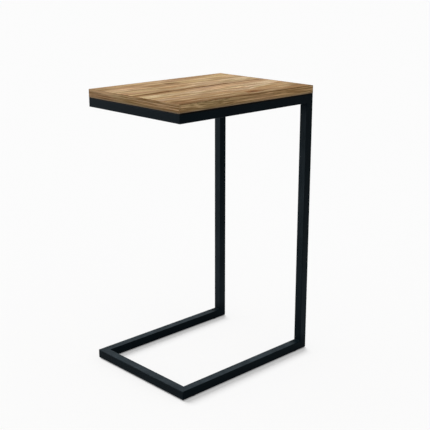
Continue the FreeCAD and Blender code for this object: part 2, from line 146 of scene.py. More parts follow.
# Growth rings in mm: the heart line's place across the plank, how deep it lies under the middle of
# the table, how much it rises per mm along the plank, and the rings' pitch
HEART_LINE = 62.0
HEART_DEPTH = 26.0
HEART_RISE = 0.06
RING_PITCH = 7.0
RING_SHARPNESS = 2.2
RINGS_ON_BOARD = 0.28
RINGS_ON_BANDS = 0.12
GRAIN_WANDER = 24
PORE_SHARE = 0.55

# The marks in this sheet of decor: its tints lie under the fine grain, and its streaks over it.
# (x, y, half length, half width in mm, colour, share)
BOARD_TINTS = (
    (0, -156, 1200, 70, OAK_UMBER, 0.92),
    (-150, -151, 380, 12, OAK_STREAK, 1.0),
    (-120, 5, 44, 9, OAK_UMBER, 0.50),
    (-64, 82, 34, 20, OAK_UMBER, 0.80),
    (-50, -112, 60, 16, OAK_UMBER, 0.50),
    (-190, 124, 46, 34, OAK_SMOKE, 0.70),
    (196, -96, 30, 40, OAK_SMOKE, 0.70),
    (192, 2, 30, 26, OAK_SMOKE, 0.50),
    (-52, 44, 90, 26, OAK_TAN, 0.55),
    (32, -114, 28, 15, OAK_TAN, 0.80),
    (160, -121, 46, 14, OAK_TAN, 0.80),
    (68, -50, 34, 10, OAK_OLIVE, 0.40),
    (-103, -55, 22, 9, OAK_OLIVE, 0.60),
    (-40, -70, 80, 17, OAK_PALE, 0.80),
    (-146, -80, 84, 13, OAK_PALE, 0.95),
    (48, -82, 56, 16, OAK_PALE, 1.00),
    (108, -62, 46, 13, OAK_PALE, 1.00),
    (98, 20, 64, 18, OAK_PALE, 0.95),
    (174, 46, 54, 42, OAK_PALE, 0.60),
    (-152, 78, 66, 17, OAK_PALE, 0.42),
    (-30, 22, 120, 10, OAK_PALE, 0.80),
    (97, 95, 30, 15, OAK_PALE, 0.55),
    (60, 141, 70, 10, OAK_PALE, 0.50),
    (130, 57, 36, 14, OAK_PALE, 0.65),
    (54, 42, 56, 22, OAK_PALE, 0.85),
    (0, 132, 60, 14, OAK_PALE, 0.58),
    (4, -12, 40, 10, OAK_PALE, 0.90),
    (140, -38, 84, 22, OAK_PALE, 0.85),
    (-158, -32, 50, 15, OAK_PALE, 0.70),
    (-50, -40, 56, 18, OAK_PALE, 0.85),
)
BOARD_STREAKS = (
    (-15, 90, 32, 15, OAK_STREAK, 0.88),
    (-178, -118, 44, 12, OAK_STREAK, 0.75),
    (36, -118, 46, 14, OAK_STREAK, 0.45),
    (-100, -153, 200, 28, OAK_STREAK, 0.85),
    (-80, -105, 66, 11, OAK_BROWN, 0.40),
    (182, -119, 36, 14, OAK_BROWN, 0.85),
    (-126, -101, 46, 8, OAK_BROWN, 0.32),
    (110, -63, 42, 10, OAK_PALE, 0.28),
    (34, -82, 40, 9, OAK_PALE, 0.24),
    (-176, -82, 40, 9, OAK_PALE, 0.22),
    (-108, -42, 34, 8, OAK_PALE, 0.20),
)
MARK_FRAY = 2.6

KNOT = (33, -122)
KNOT_SIZE = (34, 17)
KNOT_FRAY = 0.5
KNOT_RINGS = 52.0
KNOT_RING_DEPTH = 0.05

# The planks meet at PLANK_JOINT, and their grain comes from places LOG_SHIFT mm apart in the log
PLANK_JOINT = 2.0
LOG_SHIFT = (913, 31, 57)

# The joint's line in mm: its place under x = 0, its slant, and how far it wavers and frays
SEAM_PLACE = 1.8
SEAM_SLANT = 0.018
SEAM_WAVER = 5.0
SEAM_FRAY = 24.0
CRISP_FRAY_SHARE = 0.19
# (x, half length in mm, share): where the joint between the planks shows darkest
SEAM_STRETCHES = ((-112, 72, 1.0), (-30, 95, 0.85), (34, 60, 0.95))
SEAM_FAINTEST = 0.58


def oak_rings(tree, grain):
    """Growth rings of a flat-sawn plank: arches over the heart line, straight lines at its sides."""
    axes = add_node(tree, "ShaderNodeSeparateXYZ", {"Vector": grain}, output="X").node.outputs
    aside = add_node(tree, "ShaderNodeMath", {0: axes["Y"], 1: HEART_LINE}, operation="SUBTRACT")
    rise = add_node(tree, "ShaderNodeMath", {0: axes["X"], 1: HEART_RISE, 2: HEART_DEPTH},
                    operation="MULTIPLY_ADD")
    rise = add_node(tree, "ShaderNodeMath", {0: rise, 1: axes["Z"]}, operation="ADD")
    heart_line = add_node(tree, "ShaderNodeCombineXYZ", {"Y": aside, "Z": rise})
    radius = add_node(tree, "ShaderNodeVectorMath", {0: heart_line}, operation="LENGTH")
    turns = add_node(tree, "ShaderNodeMath", {0: radius, 1: 2 * math.pi / RING_PITCH},
                     operation="MULTIPLY")
    wave = add_node(tree, "ShaderNodeMath", {0: turns}, operation="SINE")
    wave = add_node(tree, "ShaderNodeMath", {0: wave, 1: 0.5, 2: 0.5}, operation="MULTIPLY_ADD")
    return add_node(tree, "ShaderNodeMath", {0: wave, 1: RING_SHARPNESS}, operation="POWER")


def part_planks(tree, place):
    """Takes each plank's grain from another stretch of the log."""
    side = add_node(tree, "ShaderNodeSeparateXYZ", {"Vector": place}, output="Y")
    left = add_node(tree, "ShaderNodeMath", {0: side, 1: PLANK_JOINT}, operation="GREATER_THAN")
    shift = add_node(tree, "ShaderNodeVectorMath", {0: LOG_SHIFT, "Scale": left}, operation="SCALE")
    return add_node(tree, "ShaderNodeVectorMath", {0: place, 1: shift}, operation="ADD")


def from_the_knot(tree, place):
    """The way from the knot's heart in mm, and its length, where 1 is the knot's rim."""
    offset = add_node(tree, "ShaderNodeVectorMath", {0: place, 1: KNOT + (0,)}, operation="SUBTRACT")
    reach = add_node(tree, "ShaderNodeVectorMath",
                     {0: offset, 1: (1 / KNOT_SIZE[0], 1 / KNOT_SIZE[1], 0)}, operation="MULTIPLY")
    distance = add_node(tree, "ShaderNodeVectorMath", {0: reach}, operation="LENGTH")
    return offset, distance


def bend_round_the_knot(tree, place):
    """Draws the grain apart so that it flows round the knot on both sides."""
    offset, distance = from_the_knot(tree, place)
    pull = add_node(tree, "ShaderNodeMapRange", {"Value": distance, "From Min": 0.1, "From Max": 1.2,
                                                 "To Min": 0.85, "To Max": 0.0},
                    interpolation_type="SMOOTHSTEP")
    sideways = add_node(tree, "ShaderNodeVectorMath", {0: offset, 1: (0, -1, 0)}, operation="MULTIPLY")
    sideways = add_node(tree, "ShaderNodeVectorMath", {0: sideways, "Scale": pull}, operation="SCALE")
    return add_node(tree, "ShaderNodeVectorMath", {0: place, 1: sideways}, operation="ADD")


def dark_knot(tree, place, colour):
    """The knot: a red-brown eye with fine rings, almost black at its cracked heart."""
    distance = from_the_knot(tree, place)[1]
    rough = clouds(tree, place, (9, 6, 6), detail=3)
    rough = add_node(tree, "ShaderNodeMath", {0: rough, 1: KNOT_FRAY, 2: -KNOT_FRAY / 2},
                     operation="MULTIPLY_ADD")
    distance = add_node(tree, "ShaderNodeMath", {0: distance, 1: rough}, operation="ADD")
    turns = add_node(tree, "ShaderNodeMath", {0: distance, 1: KNOT_RINGS}, operation="MULTIPLY")
    rings = add_node(tree, "ShaderNodeMath", {0: turns}, operation="SINE")
    ringed = add_node(tree, "ShaderNodeMath", {0: rings, 1: KNOT_RING_DEPTH, 2: distance},
                      operation="MULTIPLY_ADD")
    # (distance, where it starts and stops to fade, share, colour)
    for measure, start, end, strongest, hex_colour in ((ringed, 0.25, 0.85, 0.80, KNOT_RIM),
                                                       (distance, 0.10, 0.38, 0.92, KNOT_HEART)):
        share = add_node(tree, "ShaderNodeMapRange",
                         {"Value": measure, "From Min": start, "From Max": end, "To Min": strongest,
                          "To Max": 0.0}, interpolation_type="SMOOTHSTEP")
        colour = add_node(tree, "ShaderNodeMix", {SHARE: share, UNDER: colour, OVER: linear(hex_colour)},
                          data_type="RGBA")
    return colour


def oak_streaks(tree, grain, colour, streaks, board, tone):
    """Lays streaks along the grain, and gives the grain for the next pattern and the colour."""
    for size_mm, detail, start, end, on_board, on_bands, hex_colour in streaks:
        pattern = clouds(tree, grain, size_mm, detail, roughness=0.6)
        share = add_node(tree, "ShaderNodeMapRange",
                         {"Value": pattern, "From Min": start, "From Max": end,
                          "To Max": on_board if board else on_bands}, interpolation_type="SMOOTHSTEP")
        colour = add_node(tree, "ShaderNodeMix",
                          {SHARE: share, UNDER: colour, OVER: linear(hex_colour, tone)},
                          data_type="RGBA")
        grain = add_node(tree, "ShaderNodeVectorMath", {0: grain, 1: NEXT_PATTERN}, operation="ADD")
    return grain, colour


def heartwood_hues(tree, grain, colour):
    """Reddens some streaks and greens others, which leaves them as light as they were."""
    for size_mm, strongest, hex_colour in HUE_STREAKS:
        pattern = clouds(tree, grain, size_mm, detail=1)
        share = add_node(tree, "ShaderNodeMapRange",
                         {"Value": pattern, "From Min": 0.46, "From Max": 0.66, "To Max": strongest},
                         interpolation_type="SMOOTHSTEP")
        colour = add_node(tree, "ShaderNodeMix", {SHARE: share, UNDER: colour, OVER: linear(hex_colour)},
                          data_type="RGBA", blend_type="COLOR")
        grain = add_node(tree, "ShaderNodeVectorMath", {0: grain, 1: NEXT_PATTERN}, operation="ADD")
    return grain, colour


def oak_pores(tree, grain, rings):
    """Short open pores, crowded in the spring wood of each ring."""
    # Real pores are 0.2 mm wide: drawn 0.6 mm wide and 8 mm long so that they show
    pores = clouds(tree, grain, (8, 0.6, 0.6), detail=1)
    pores = add_node(tree, "ShaderNodeMapRange", {"Value": pores, "From Min": 0.58, "From Max": 0.70},
                     interpolation_type="SMOOTHSTEP")
    crowding = add_node(tree, "ShaderNodeMapRange", {"Value": rings, "To Min": 0.3, "To Max": 1.0})
    return add_node(tree, "ShaderNodeMath", {0: pores, 1: crowding}, operation="MULTIPLY")


def oak_marks(tree, place, grain, colour, marks):
    """Lays tints or mineral streaks on the oak, frayed out along the grain."""
    frayed = clouds(tree, grain, (46, 6, 6), roughness=0.6)
    frayed = add_node(tree, "ShaderNodeMath", {0: frayed, 1: MARK_FRAY, 2: -MARK_FRAY / 2},
                      operation="MULTIPLY_ADD")
    for x, y, half_length, half_width, hex_colour, share in marks:
        offset = add_node(tree, "ShaderNodeVectorMath", {0: place, 1: (x, y, 0)}, operation="SUBTRACT")
        reach = add_node(tree, "ShaderNodeVectorMath",
                         {0: offset, 1: (1 / half_length, 1 / half_width, 0)}, operation="MULTIPLY")
        distance = add_node(tree, "ShaderNodeVectorMath", {0: reach}, operation="LENGTH")
        distance = add_node(tree, "ShaderNodeMath", {0: distance, 1: frayed}, operation="ADD")
        strength = add_node(tree, "ShaderNodeMapRange",
                            {"Value": distance, "From Min": 0.1, "From Max": 1.3, "To Min": share,
                             "To Max": 0.0}, interpolation_type="SMOOTHSTEP")
        colour = add_node(tree, "ShaderNodeMix",
                          {SHARE: strength, UNDER: colour, OVER: linear(hex_colour)}, data_type="RGBA")
    return colour


def plank_seam(tree, place, grain, colour):
    """The joint between the two planks: a fine dark line in brown streaks, fading to the rear."""
    axes = add_node(tree, "ShaderNodeSeparateXYZ", {"Vector": place}, output="X").node.outputs
    line = add_node(tree, "ShaderNodeMath", {0: axes["X"], 1: SEAM_SLANT, 2: SEAM_PLACE},
                    operation="MULTIPLY_ADD")
    waver = clouds(tree, place, (60, 300, 300))
    waver = add_node(tree, "ShaderNodeMath", {0: waver, 1: SEAM_WAVER, 2: -SEAM_WAVER / 2},
                     operation="MULTIPLY_ADD")
    line = add_node(tree, "ShaderNodeMath", {0: line, 1: waver}, operation="ADD")
    aside = add_node(tree, "ShaderNodeMath", {0: axes["Y"], 1: line}, operation="SUBTRACT")
    aside = add_node(tree, "ShaderNodeMath", {0: aside}, operation="ABSOLUTE")
    frayed = clouds(tree, grain, (120, 2.2, 2.2))
    frayed = add_node(tree, "ShaderNodeMath", {0: frayed, 1: SEAM_FRAY, 2: -SEAM_FRAY / 2},
                      operation="MULTIPLY_ADD")
    ragged = add_node(tree, "ShaderNodeMath", {0: aside, 1: frayed}, operation="ADD")
    darkness = SEAM_FAINTEST
    for x, half_length, share in SEAM_STRETCHES:
        along = add_node(tree, "ShaderNodeMath", {0: axes["X"], 1: x}, operation="SUBTRACT")
        along = add_node(tree, "ShaderNodeMath", {0: along}, operation="ABSOLUTE")
        stretch = add_node(tree, "ShaderNodeMapRange",
                           {"Value": along, "From Min": half_length * 0.7,
                            "From Max": half_length * 1.25, "To Min": share, "To Max": 0.0},
                           interpolation_type="SMOOTHSTEP")
        darkness = add_node(tree, "ShaderNodeMath", {0: darkness, 1: stretch}, operation="MAXIMUM")
    crisp = add_node(tree, "ShaderNodeMath", {0: frayed, 1: CRISP_FRAY_SHARE, 2: aside},
                     operation="MULTIPLY_ADD")
    # (distance, where it starts and stops to fade in mm, share, colour)
    for distance, start, end, strongest, hex_colour in ((ragged, 2.0, 11.0, 0.88, SEAM_BROWN),
                                                        (crisp, 1.8, 3.2, 1.00, OAK_SEAM)):
        closeness = add_node(tree, "ShaderNodeMapRange",
                             {"Value": distance, "From Min": start, "From Max": end, "To Min": strongest,
                              "To Max": 0.0}, interpolation_type="SMOOTHSTEP")
        share = add_node(tree, "ShaderNodeMath", {0: closeness, 1: darkness}, operation="MULTIPLY")
        colour = add_node(tree, "ShaderNodeMix", {SHARE: share, UNDER: colour, OVER: linear(hex_colour)},
                          data_type="RGBA")
    return colour


def milled_arrises(tree, place, colour, browning, tone_shift, shadow_line_top):
    """The edge band's milled arrises: its upper half a little darker, its top and corners browned by the
    cutter, and its foot, from the top down, darkened by painted shade, worn pale, and black with a
    painted shadow line."""
    height = add_node(tree, "ShaderNodeSeparateXYZ", {"Vector": place}, output="Z")
    aside = add_node(tree, "ShaderNodeVectorMath", {0: place}, operation="ABSOLUTE")
    corner = add_node(tree, "ShaderNodeVectorMath", {0: aside, 1: (1, 1, 0)}, operation="DOT_PRODUCT",
                      output="Value")
    # (measure, from, to, share at from, share at to, colour)
    for measure, low, high, at_low, at_high, hex_colour in (
            (height, 632.0, 636.0, 0.0, tone_shift, OAK_BROWN),
            (height, 638.4, 639.8, 0.0, browning, CUTTER_BROWN),
            (corner, 345.0, 349.0, 0.0, 0.26, CORNER_BROWN),
            # painted shade, darkening the band towards its foot
            (height, 625.0, 629.5, 0.45, 0.0, BAND_FOOT_SHADE_BROWN),
            (height, shadow_line_top + 0.1, shadow_line_top + 1.8, 0.50, 0.0, WORN_PALE),
            # a painted shadow line in the joint between the band and the tube
            (height, shadow_line_top - 0.8, shadow_line_top, 0.97, 0.0, PAINTED_JOINT_SHADOW_BLACK)):
        share = add_node(tree, "ShaderNodeMapRange",
                         {"Value": measure, "From Min": low, "From Max": high, "To Min": at_low,
                          "To Max": at_high}, interpolation_type="SMOOTHSTEP")
        colour = add_node(tree, "ShaderNodeMix", {SHARE: share, UNDER: colour, OVER: linear(hex_colour)},
                          data_type="RGBA")
    return colour


def oak_material(name, grain_turn=0, log_place=(0, 0, 0), board=False, tone=1.0, browning=0.8,
                 tone_shift=0.0, shadow_line_top=622.8, wander_mm=(260, 60, 60)):
    """Oak-decor melamine, pressed matt with fine pores: warm straw to brown streaks along the grain,
    short dark pores that catch no light, and a soft sheen at low angles."""
    material = new_material(name)
    tree = material.node_tree
    place = place_in_mm(tree)
    grain = add_node(tree, "ShaderNodeVectorRotate",
                     {"Vector": place, "Angle": math.radians(grain_turn)}, rotation_type="Z_AXIS")
    grain = add_node(tree, "ShaderNodeVectorMath", {0: grain, 1: log_place}, operation="ADD")
    if board:
        grain = part_planks(tree, bend_round_the_knot(tree, grain))
    # The grain wanders a few millimetres sideways
    wander = clouds(tree, grain, wander_mm, detail=1)
    sway = add_node(tree, "ShaderNodeVectorMath", {0: (0, GRAIN_WANDER, GRAIN_WANDER), "Scale": wander},
                    operation="SCALE")
    grain = add_node(tree, "ShaderNodeVectorMath", {0: grain, 1: sway}, operation="ADD")
    rings = oak_rings(tree, grain)
    grain, colour = oak_streaks(tree, grain, linear(OAK_STRAW, tone), BROAD_STREAKS, board, tone)
    if board:
        colour = oak_marks(tree, place, grain, colour, BOARD_TINTS)
    grain, colour = oak_streaks(tree, grain, colour, FINE_STREAKS, board, tone)
    grain, colour = heartwood_hues(tree, grain, colour)
    share = add_node(tree, "ShaderNodeMath", {0: rings, 1: RINGS_ON_BOARD if board else RINGS_ON_BANDS},
                     operation="MULTIPLY")
    colour = add_node(tree, "ShaderNodeMix",
                      {SHARE: share, UNDER: colour, OVER: linear(OAK_BROWN, tone)}, data_type="RGBA")
    if board:
        colour = oak_marks(tree, place, grain, colour, BOARD_STREAKS)
        colour = dark_knot(tree, place, colour)
        colour = plank_seam(tree, place, grain, colour)
    else:
        colour = milled_arrises(tree, place, colour, browning, tone_shift, shadow_line_top)
    pores = oak_pores(tree, grain, rings)
    share = add_node(tree, "ShaderNodeMath", {0: pores, 1: PORE_SHARE}, operation="MULTIPLY")
    colour = add_node(tree, "ShaderNodeMix", {SHARE: share, UNDER: colour, OVER: linear(OAK_PORE)},
                      data_type="RGBA")
    relief = add_node(tree, "ShaderNodeMath", {0: rings, 1: 0.25, 2: pores}, operation="MULTIPLY_ADD")
    dents = add_node(tree, "ShaderNodeBump", {"Strength": 0.5, "Distance": 0.06 * MM, "Height": relief},
                     invert=True)
    roughness = add_node(tree, "ShaderNodeMapRange", {"Value": pores, "To Min": 0.52, "To Max": 0.68})
    surface = add_node(tree, "ShaderNodeBsdfPrincipled", {
        "Base Color": colour, "Roughness": roughness, "Specular IOR Level": 0.01, "IOR": 1.5,
        "Normal": dents})
    add_node(tree, "ShaderNodeOutputMaterial", {"Surface": surface})
    return material


# ---------------------------------------------------------------- frame and fittings

# The frame's sizes in mm
TUBE = 20
FRONT_END = -200
REAR_END = 200
OUTER_SIDE = 150
FRAME_FOOT = 2
FRAME_HEAD = 621

COAT_DEEP = "#050D12"
COAT_PALER = "#0A1419"
COAT_RUBBED = "#3A444A"
COAT_SHEEN = "#C4E8FF"
DUST_AND_PAINTED_LIGHT = "#7C8C96"
COAT_JOINT_SHADOW = "#050201"
ZINC_BLUE = "#C3C6C8"
ZINC_YELLOW = "#CBC7B6"
GLIDE_GREY = "#202224"
GLIDE_GRIT = "#3A3B3A"

# Painted light added at the foot of each post's front: below 0 it is painted shade
FOOT_LIGHT_RIGHT = -0.046
FOOT_LIGHT_LEFT = 0.024
# How far from the posts the base's dust and painted sheen start to thin out, and where none is left, in
# mm:
# this paints the posts' shade on the base's tops
POST_SHADE_START = 32
POST_SHADE_END = 10


def ground_weld_ridges(tree, place):
    """The outer welds of the mitred corners, ground flush: a faint ridge along each mitre."""
    aside = add_node(tree, "ShaderNodeVectorMath", {0: place}, operation="ABSOLUTE")
    side = add_node(tree, "ShaderNodeSeparateXYZ", {"Vector": aside}, output="Y")
    axes = add_node(tree, "ShaderNodeSeparateXYZ", {"Vector": place}, output="X").node.outputs
    ridge = 0.0
    # Each mitre is where the distances from the corner's two outer faces are the same
    corners = (
        ("ADD", axes["X"], side, OUTER_SIDE + FRONT_END),
        ("ADD", axes["X"], axes["Z"], REAR_END + FRAME_FOOT),
        ("SUBTRACT", axes["X"], axes["Z"], REAR_END - FRAME_HEAD),
    )
    for operation, first, second, level in corners:
        line = add_node(tree, "ShaderNodeMath", {0: first, 1: second}, operation=operation)
        off = add_node(tree, "ShaderNodeMath", {0: line, 1: level}, operation="SUBTRACT")
        off = add_node(tree, "ShaderNodeMath", {0: off}, operation="ABSOLUTE")
        height = add_node(tree, "ShaderNodeMapRange",
                          {"Value": off, "From Min": 0.5, "From Max": 3.5, "To Min": 1.0, "To Max": 0.0},
                          interpolation_type="SMOOTHSTEP")
        ridge = add_node(tree, "ShaderNodeMath", {0: ridge, 1: height}, operation="MAXIMUM")
    beyond = add_node(tree, "ShaderNodeMath", {0: side, 1: OUTER_SIDE - TUBE - 0.5},
                      operation="GREATER_THAN")
    return add_node(tree, "ShaderNodeMath", {0: ridge, 1: beyond}, operation="MULTIPLY")


def painted_light_on_the_posts(tree, place, facing):
    """Painted light on the posts: lighter towards their feet for the light that the floor throws back,
    and lighter on their fronts, which face the lamps, more so higher up and least at the right post's
    foot."""
    height = add_node(tree, "ShaderNodeSeparateXYZ", {"Vector": place}, output="Z")
    ahead = add_node(tree, "ShaderNodeSeparateXYZ", {"Vector": facing}, output="X")
    above_base = add_node(tree, "ShaderNodeMapRange", {"Value": height, "From Min": 24, "From Max": 44})
    below_head = add_node(tree, "ShaderNodeMapRange", {"Value": height, "From Min": 570,
                                                       "From Max": 598, "To Min": 1.0, "To Max": 0.0})
    dust_and_painted_light = add_node(tree, "ShaderNodeMapRange", {"Value": height, "From Min": 60, "From Max": 440,
                                                 "To Min": 0.05, "To Max": 0.0})
    across = add_node(tree, "ShaderNodeSeparateXYZ", {"Vector": place}, output="Y")
    foot_light = add_node(tree, "ShaderNodeMapRange", {"Value": across, "From Min": -OUTER_SIDE,
                                                  "From Max": OUTER_SIDE, "To Min": FOOT_LIGHT_RIGHT,
                                                  "To Max": FOOT_LIGHT_LEFT})
    tone_shift = add_node(tree, "ShaderNodeMapRange", {"Value": height, "From Min": 60, "From Max": 360,
                                                    "To Min": foot_light, "To Max": 0.06})
    front = add_node(tree, "ShaderNodeMapRange", {"Value": ahead, "From Min": -1.0, "From Max": -0.3,
                                                  "To Min": 1.0, "To Max": 0.0})
    tone_shift = add_node(tree, "ShaderNodeMath", {0: tone_shift, 1: front}, operation="MULTIPLY")
    painted_post_light = add_node(tree, "ShaderNodeMath", {0: dust_and_painted_light, 1: tone_shift}, operation="ADD")
    painted_post_light = add_node(tree, "ShaderNodeMath", {0: painted_post_light, 1: above_base}, operation="MULTIPLY")
    painted_post_light = add_node(tree, "ShaderNodeMath", {0: painted_post_light, 1: below_head}, operation="MULTIPLY")
    uneven = clouds(tree, place, (40, 40, 90), detail=3, roughness=0.6)
    uneven = add_node(tree, "ShaderNodeMapRange",
                      {"Value": uneven, "From Min": 0.3, "From Max": 0.7, "To Min": 0.6, "To Max": 1.4})
    return add_node(tree, "ShaderNodeMath", {0: painted_post_light, 1: uneven}, operation="MULTIPLY")


def rubbed_edges(tree, place, facing):
    """Sleeves and hands polish the rounded edges, where the surface faces no axis squarely."""
    level = add_node(tree, "ShaderNodeVectorMath", {0: facing}, operation="ABSOLUTE")
    axes = add_node(tree, "ShaderNodeSeparateXYZ", {"Vector": level}, output="X").node.outputs
    squarely = add_node(tree, "ShaderNodeMath", {0: axes["X"], 1: axes["Y"]}, operation="MAXIMUM")
    squarely = add_node(tree, "ShaderNodeMath", {0: squarely, 1: axes["Z"]}, operation="MAXIMUM")
    edge = add_node(tree, "ShaderNodeMapRange", {"Value": squarely, "From Min": 0.74, "From Max": 0.96,
                                                 "To Min": 1.0, "To Max": 0.0})
    rubbing = clouds(tree, place, (34, 34, 34), detail=4, roughness=0.65)
    rubbing = add_node(tree, "ShaderNodeMapRange",
                       {"Value": rubbing, "From Min": 0.42, "From Max": 0.68},
                       interpolation_type="SMOOTHSTEP")
    return add_node(tree, "ShaderNodeMath", {0: edge, 1: rubbing}, operation="MULTIPLY")


def dust_and_painted_top_sheen(tree, place, facing):
    """Dust on what faces up, with a painted sheen that lightens the tops. It fades out over the last
    centimetres of the base before the posts' feet, which paints the posts' shade there.
    """
    upward = add_node(tree, "ShaderNodeSeparateXYZ", {"Vector": facing}, output="Z")
    lying = add_node(tree, "ShaderNodeMapRange", {"Value": upward, "From Min": 0.88, "From Max": 0.995})
    settled = clouds(tree, place, (26, 26, 26), detail=4, roughness=0.6)
    settled = add_node(tree, "ShaderNodeMapRange",
                       {"Value": settled, "From Min": 0.3, "From Max": 0.75, "To Min": 0.05,
                        "To Max": 0.16})
    dust_and_painted_light = add_node(tree, "ShaderNodeMath", {0: lying, 1: settled}, operation="MULTIPLY")
    along = add_node(tree, "ShaderNodeSeparateXYZ", {"Vector": place}, output="X")
    # painted shade: the base's tops darken near the posts' feet
    post_front = REAR_END - TUBE
    outside_post_shade = add_node(tree, "ShaderNodeMapRange",
                            {"Value": along, "From Min": post_front - POST_SHADE_START,
                             "From Max": post_front - POST_SHADE_END, "To Min": 1.0, "To Max": 0.0},
                            interpolation_type="SMOOTHSTEP")
    return add_node(tree, "ShaderNodeMath", {0: dust_and_painted_light, 1: outside_post_shade}, operation="MULTIPLY")


def powder_coat_material():
    """Polyester powder coat, sprayed and baked on steel: a deep blue-black satin skin with a fine
    orange peel, rounded edges rubbed smoother, a little dust and a painted sheen on what faces up,
    painted light and shade on the posts, a brown-black painted shadow in the joint under the board,
    and faint ridges where the welds were ground."""
    material = new_material("satin_black_powder_coat")
    tree = material.node_tree
    place = place_in_mm(tree)
    facing = add_node(tree, "ShaderNodeNewGeometry", output="Normal")
    # Real orange peel is 1 to 2 mm across: drawn 2.5 mm across so that it shows
    peel = clouds(tree, place, (2.5, 2.5, 2.5))
    grit = clouds(tree, place, (0.5, 0.5, 0.5), detail=1)
    patches = clouds(tree, place, (60, 60, 60), detail=3, roughness=0.6)
    share = add_node(tree, "ShaderNodeMapRange", {"Value": patches, "From Min": 0.3, "From Max": 0.7},
                     interpolation_type="SMOOTHSTEP")
    colour = add_node(tree, "ShaderNodeMix",
                      {SHARE: share, UNDER: linear(COAT_DEEP), OVER: linear(COAT_PALER)},
                      data_type="RGBA")
    wear = rubbed_edges(tree, place, facing)
    share = add_node(tree, "ShaderNodeMath", {0: wear, 1: 0.20}, operation="MULTIPLY")
    colour = add_node(tree, "ShaderNodeMix", {SHARE: share, UNDER: colour, OVER: linear(COAT_RUBBED)},
                      data_type="RGBA")
    # Dust, together with painted light: a sheen on what faces up, and the posts' painted light and shade
    dust_and_painted_light = dust_and_painted_top_sheen(tree, place, facing)
    painted_post_light = painted_light_on_the_posts(tree, place, facing)
    dust_and_painted_light = add_node(tree, "ShaderNodeMath", {0: dust_and_painted_light, 1: painted_post_light}, operation="ADD")
    colour = add_node(tree, "ShaderNodeMix", {SHARE: dust_and_painted_light, UNDER: colour, OVER: linear(DUST_AND_PAINTED_LIGHT)},
                      data_type="RGBA")
    # Painted shadow: the tube's top edge darkens to brown-black where it meets the board
    height = add_node(tree, "ShaderNodeSeparateXYZ", {"Vector": place}, output="Z")
    share = add_node(tree, "ShaderNodeMapRange",
                     {"Value": height, "From Min": FRAME_HEAD - 2.6, "From Max": FRAME_HEAD - 0.8,
                      "To Max": 0.9}, interpolation_type="SMOOTHSTEP")
    colour = add_node(tree, "ShaderNodeMix", {SHARE: share, UNDER: colour, OVER: linear(COAT_JOINT_SHADOW)},
                      data_type="RGBA")
    relief = add_node(tree, "ShaderNodeMath", {0: grit, 1: 0.3, 2: peel}, operation="MULTIPLY_ADD")
    relief = add_node(tree, "ShaderNodeMath", {0: ground_weld_ridges(tree, place), 1: 1.5, 2: relief},
                      operation="MULTIPLY_ADD")
    skin = add_node(tree, "ShaderNodeBump", {"Strength": 0.5, "Distance": 0.08 * MM, "Height": relief})
    roughness = add_node(tree, "ShaderNodeMapRange",
                         {"Value": patches, "From Min": 0.3, "From Max": 0.7, "To Min": 0.46,
                          "To Max": 0.56})
    roughness = add_node(tree, "ShaderNodeMath", {0: wear, 1: -0.12, 2: roughness},
                         operation="MULTIPLY_ADD")
    surface = add_node(tree, "ShaderNodeBsdfPrincipled", {
        "Base Color": colour, "Roughness": roughness, "Specular IOR Level": 0.03, "IOR": 1.5,
        "Specular Tint": linear(COAT_SHEEN), "Normal": skin})
    add_node(tree, "ShaderNodeOutputMaterial", {"Surface": surface})
    return material


def zinc_material():
    """Bright zinc plate on a rolled steel screw: a cool grey metal, faintly blue and yellow in
    patches, with rolled rings that blur what it mirrors."""
    material = new_material("bright_zinc_plate")
    tree = material.node_tree
    place = place_in_mm(tree)
    patches = clouds(tree, place, (2.2, 2.2, 2.2))
    share = add_node(tree, "ShaderNodeMapRange", {"Value": patches, "From Min": 0.35, "From Max": 0.65})
    colour = add_node(tree, "ShaderNodeMix",
                      {SHARE: share, UNDER: linear(ZINC_BLUE), OVER: linear(ZINC_YELLOW)},
                      data_type="RGBA")
    rolled = clouds(tree, place, (1.5, 1.5, 0.2))
    rings = add_node(tree, "ShaderNodeBump", {"Strength": 0.3, "Distance": 0.03 * MM, "Height": rolled})
    roughness = add_node(tree, "ShaderNodeMapRange",
                         {"Value": rolled, "From Min": 0.3, "From Max": 0.7, "To Min": 0.24,
                          "To Max": 0.38})
    surface = add_node(tree, "ShaderNodeBsdfPrincipled", {
        "Base Color": colour, "Metallic": 1.0, "Roughness": roughness, "Normal": rings})
    add_node(tree, "ShaderNodeOutputMaterial", {"Surface": surface})
    return material


def glide_material():
    """Moulded black polyethylene: a waxy dark grey, blasted finely by the mould, with floor grit
    rubbed into its sole."""
    material = new_material("moulded_black_polyethylene")
    tree = material.node_tree
    place = place_in_mm(tree)
    blasted = clouds(tree, place, (0.6, 0.6, 0.6))
    rubbed = clouds(tree, place, (5, 5, 5), detail=4)
    rubbed = add_node(tree, "ShaderNodeMapRange", {"Value": rubbed, "From Min": 0.5, "From Max": 0.75})
    colour = add_node(tree, "ShaderNodeMix",
                      {SHARE: rubbed, UNDER: linear(GLIDE_GREY), OVER: linear(GLIDE_GRIT)},
                      data_type="RGBA")
    grain = add_node(tree, "ShaderNodeBump", {"Strength": 0.4, "Distance": 0.05 * MM, "Height": blasted})
    roughness = add_node(tree, "ShaderNodeMapRange", {"Value": rubbed, "To Min": 0.5, "To Max": 0.7})
    surface = add_node(tree, "ShaderNodeBsdfPrincipled", {
        "Base Color": colour, "Roughness": roughness, "Specular IOR Level": 0.4, "IOR": 1.51,
        "Normal": grain})
    add_node(tree, "ShaderNodeOutputMaterial", {"Surface": surface})
    return material


# ---------------------------------------------------------------- weld beads

BEAD_LENGTH = 17 * MM
BEAD_RADIUS = 1.3 * MM
BEAD_OFFSET = 0.62 * MM
BEAD_SIDES = 16
RIPPLES = 13
# The bead's width between two ripples and at its ends, as a share of its width at a ripple
RIPPLE_WAIST = 0.74
BEAD_END = 0.5

